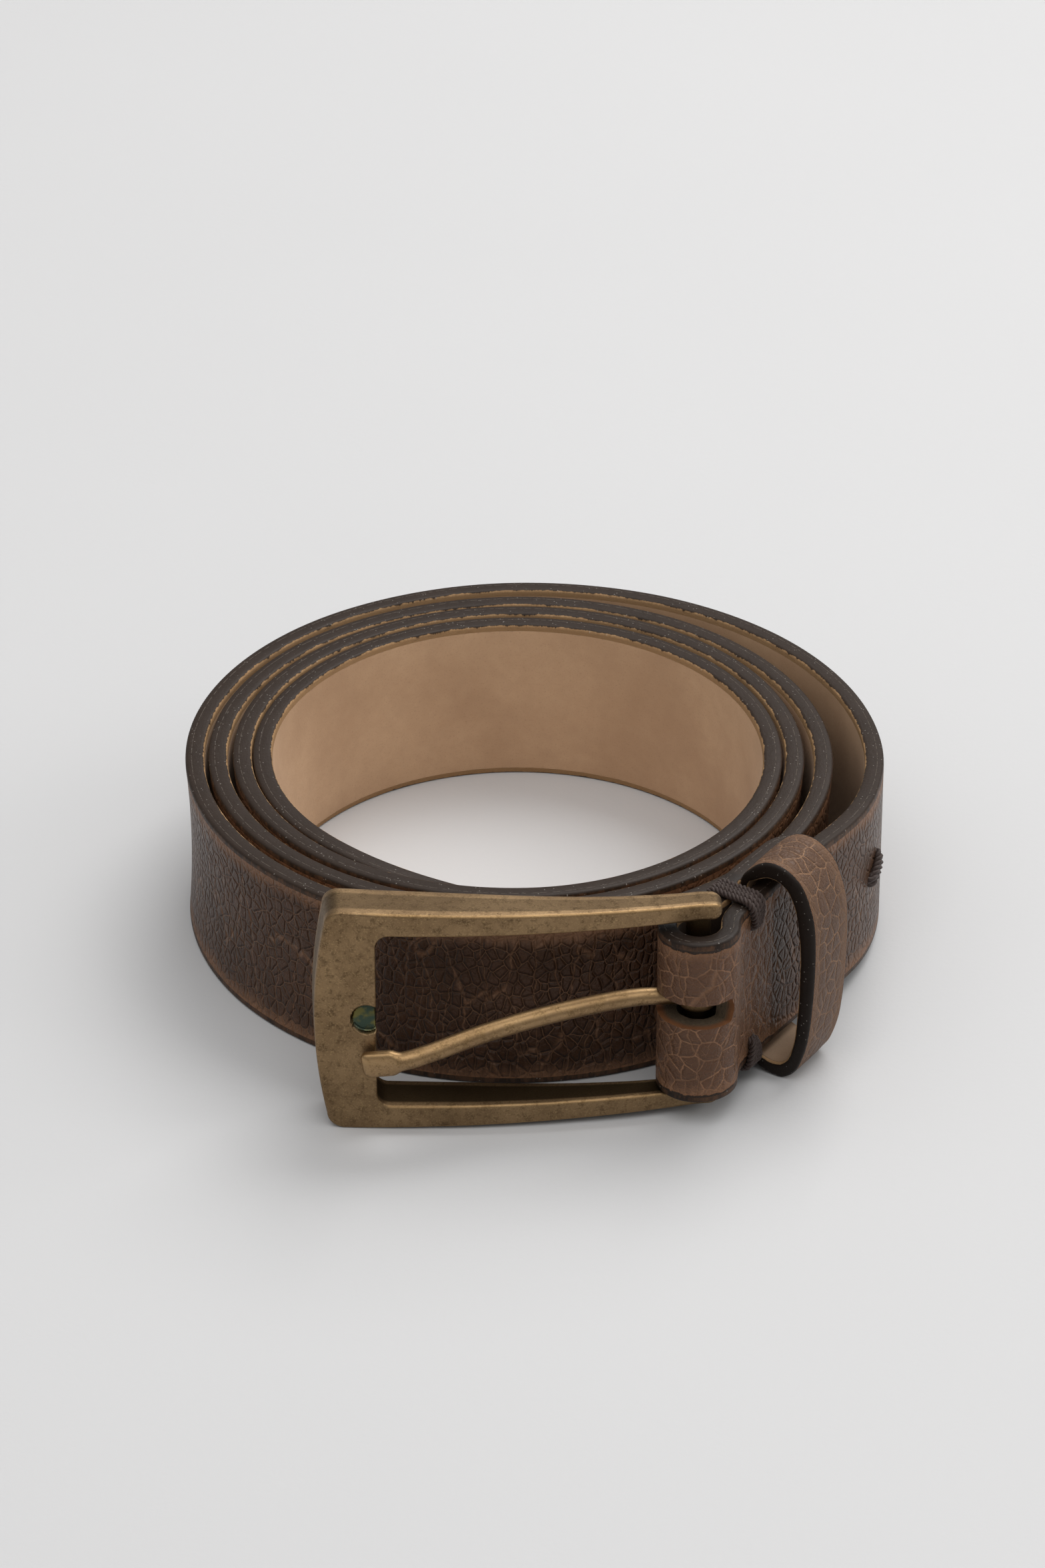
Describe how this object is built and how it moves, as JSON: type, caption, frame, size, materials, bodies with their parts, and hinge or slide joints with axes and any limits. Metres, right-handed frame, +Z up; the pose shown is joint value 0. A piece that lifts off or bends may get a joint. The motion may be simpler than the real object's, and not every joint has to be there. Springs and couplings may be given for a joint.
{
  "type": "leather belt",
  "caption": "Rolled leather dress belt standing on its edge: bonded strap coiled around an open eye, pin buckle, standing keeper loop and thread wraps.",
  "frame": {"origin": "on the floor, below the middle of the belt's footprint", "axes": "+Z up along the strap's width, -Y towards the buckle's front, +X towards the keeper's side"},
  "size_m": [0.1178, 0.1328, 0.0407],
  "materials": {
    "grain_leather": "pebbled grain, waxed, lighter in the creases and along the margins, dark painted edge",
    "lining_leather": "smooth natural tan, matt",
    "antique_brass": "tumbled antique brass, mottled, brighter on the edges",
    "keeper_leather": "crackled grain outside, tan inside, dark painted edge",
    "waxed_thread": "twisted waxed thread"
  },
  "bodies": {
    "strap": {"strap_face": "grain_leather", "strap_lining": "lining_leather", "thread_wrap_top_1": "waxed_thread", "thread_wrap_top_2": "waxed_thread", "thread_wrap_top_3": "waxed_thread", "thread_wrap_top_4": "waxed_thread", "thread_wrap_bottom_1": "waxed_thread", "thread_wrap_bottom_2": "waxed_thread", "thread_wrap_bottom_3": "waxed_thread", "thread_wrap_bottom_4": "waxed_thread", "rear_stitch_1": "waxed_thread", "rear_stitch_2": "waxed_thread"},
    "buckle": {"buckle_frame": "antique_brass"},
    "prong": {"prong": "antique_brass"},
    "keeper": {"keeper_loop": "keeper_leather"}
  },
  "joints": [
    {"name": "buckle_swing", "type": "hinge", "parent": "strap", "child": "buckle", "pos_m": [0.0261, -0.05575, 0.02035], "axis": [0, 0, 1], "range_deg": [0, 60]},
    {"name": "prong_swing", "type": "hinge", "parent": "buckle", "child": "prong", "pos_m": [0.0261, -0.05575, 0.02035], "axis": [0, 0, 1], "range_deg": [0, 60]},
    {"name": "keeper_slide", "type": "slide", "parent": "strap", "child": "keeper", "axis": [0.527, 0.8499, 0], "range_m": [-0.001, 0.0025]}
  ]
}
